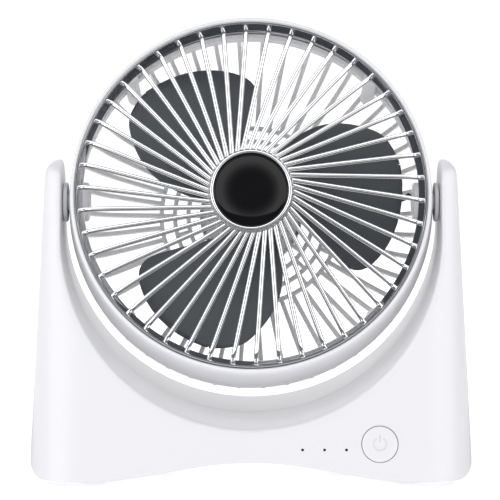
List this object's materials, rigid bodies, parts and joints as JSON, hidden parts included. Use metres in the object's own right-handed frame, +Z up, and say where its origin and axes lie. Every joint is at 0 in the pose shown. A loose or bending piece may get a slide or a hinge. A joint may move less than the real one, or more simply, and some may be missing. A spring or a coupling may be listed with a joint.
{
  "type": "desk fan",
  "caption": "Small white desk fan: a round head with a chrome-ringed spoke grille tilts between the arms of a U-shaped base with a push button on its front.",
  "frame": {"origin": "on the floor under the middle of the base, so the feet stand at Z = 0", "axes": "+Z up; -Y is the front that blows air and carries the button; +X is the viewer's right when facing the front"},
  "size_m": [0.1882, 0.0992, 0.1946],
  "materials": {
    "white_shell": "satin white moulding",
    "chrome_grille": "chrome-plated plastic, mirror bright",
    "black_gloss": "high gloss black",
    "blade_slate": "satin dark grey",
    "foot_rubber": "matt",
    "black_moulding": "matt",
    "circuit_board": "green solder mask",
    "battery_wrap": "printed film wrap over a metal can",
    "lamp_clear": "clear",
    "screw_steel": "zinc plated",
    "socket_steel": "bright nickel",
    "motor_steel": "plated",
    "bush_brass": "plain",
    "lead_sheath": "matt sheath"
  },
  "bodies": {
    "base": {"base_front_shell": "white_shell", "base_rear_shell": "white_shell", "bottom_plate": "white_shell", "foot_front_left": "foot_rubber", "foot_front_right": "foot_rubber", "foot_rear_left": "foot_rubber", "foot_rear_right": "foot_rubber", "plate_screw_front_left": "screw_steel", "plate_screw_front_right": "screw_steel", "plate_screw_rear_left": "screw_steel", "plate_screw_rear_right": "screw_steel", "shell_screw_left_lower": "screw_steel", "shell_screw_left_upper": "screw_steel", "shell_screw_right_lower": "screw_steel", "shell_screw_right_upper": "screw_steel", "power_switch": "black_moulding", "control_board": "circuit_board", "level_lamp_1": "lamp_clear", "level_lamp_2": "lamp_clear", "level_lamp_3": "lamp_clear", "charge_board": "circuit_board", "usb_socket": "socket_steel", "battery_cell": "battery_wrap", "battery_cradle": "black_moulding", "arm_lead": "lead_sheath", "friction_washer_left": "screw_steel", "friction_washer_right": "screw_steel"},
    "button": {"power_button": "white_shell"},
    "head": {"head_barrel": "white_shell", "rear_cover": "white_shell", "cover_screw_upper_right": "screw_steel", "cover_screw_upper_left": "screw_steel", "cover_screw_lower_left": "screw_steel", "cover_screw_lower_right": "screw_steel", "pivot_stub_left": "white_shell", "pivot_stub_right": "white_shell", "pivot_screw_left": "screw_steel", "pivot_screw_right": "screw_steel", "front_grille": "chrome_grille", "hub_badge": "black_gloss", "motor_can": "motor_steel", "motor_cap": "black_moulding", "motor_bush_front": "bush_brass", "motor_bush_rear": "bush_brass", "motor_lead": "lead_sheath"},
    "impeller": {"impeller": "blade_slate", "motor_shaft": "motor_steel", "motor_rotor": "motor_steel"}
  },
  "joints": [
    {"name": "head_tilt", "type": "hinge", "parent": "base", "child": "head", "pos_m": [0, 0, 0.115], "axis": [-1, 0, 0], "range_deg": [-31, 74]},
    {"name": "impeller_spin", "type": "hinge", "parent": "head", "child": "impeller", "pos_m": [0, 0, 0.115], "axis": [0, -0.9613, 0.2756], "continuous": true},
    {"name": "button_press", "type": "slide", "parent": "base", "child": "button", "axis": [0, 0.9655, -0.2603], "range_m": [0, 0.0006], "stiffness_N_per_m": 1500}
  ]
}
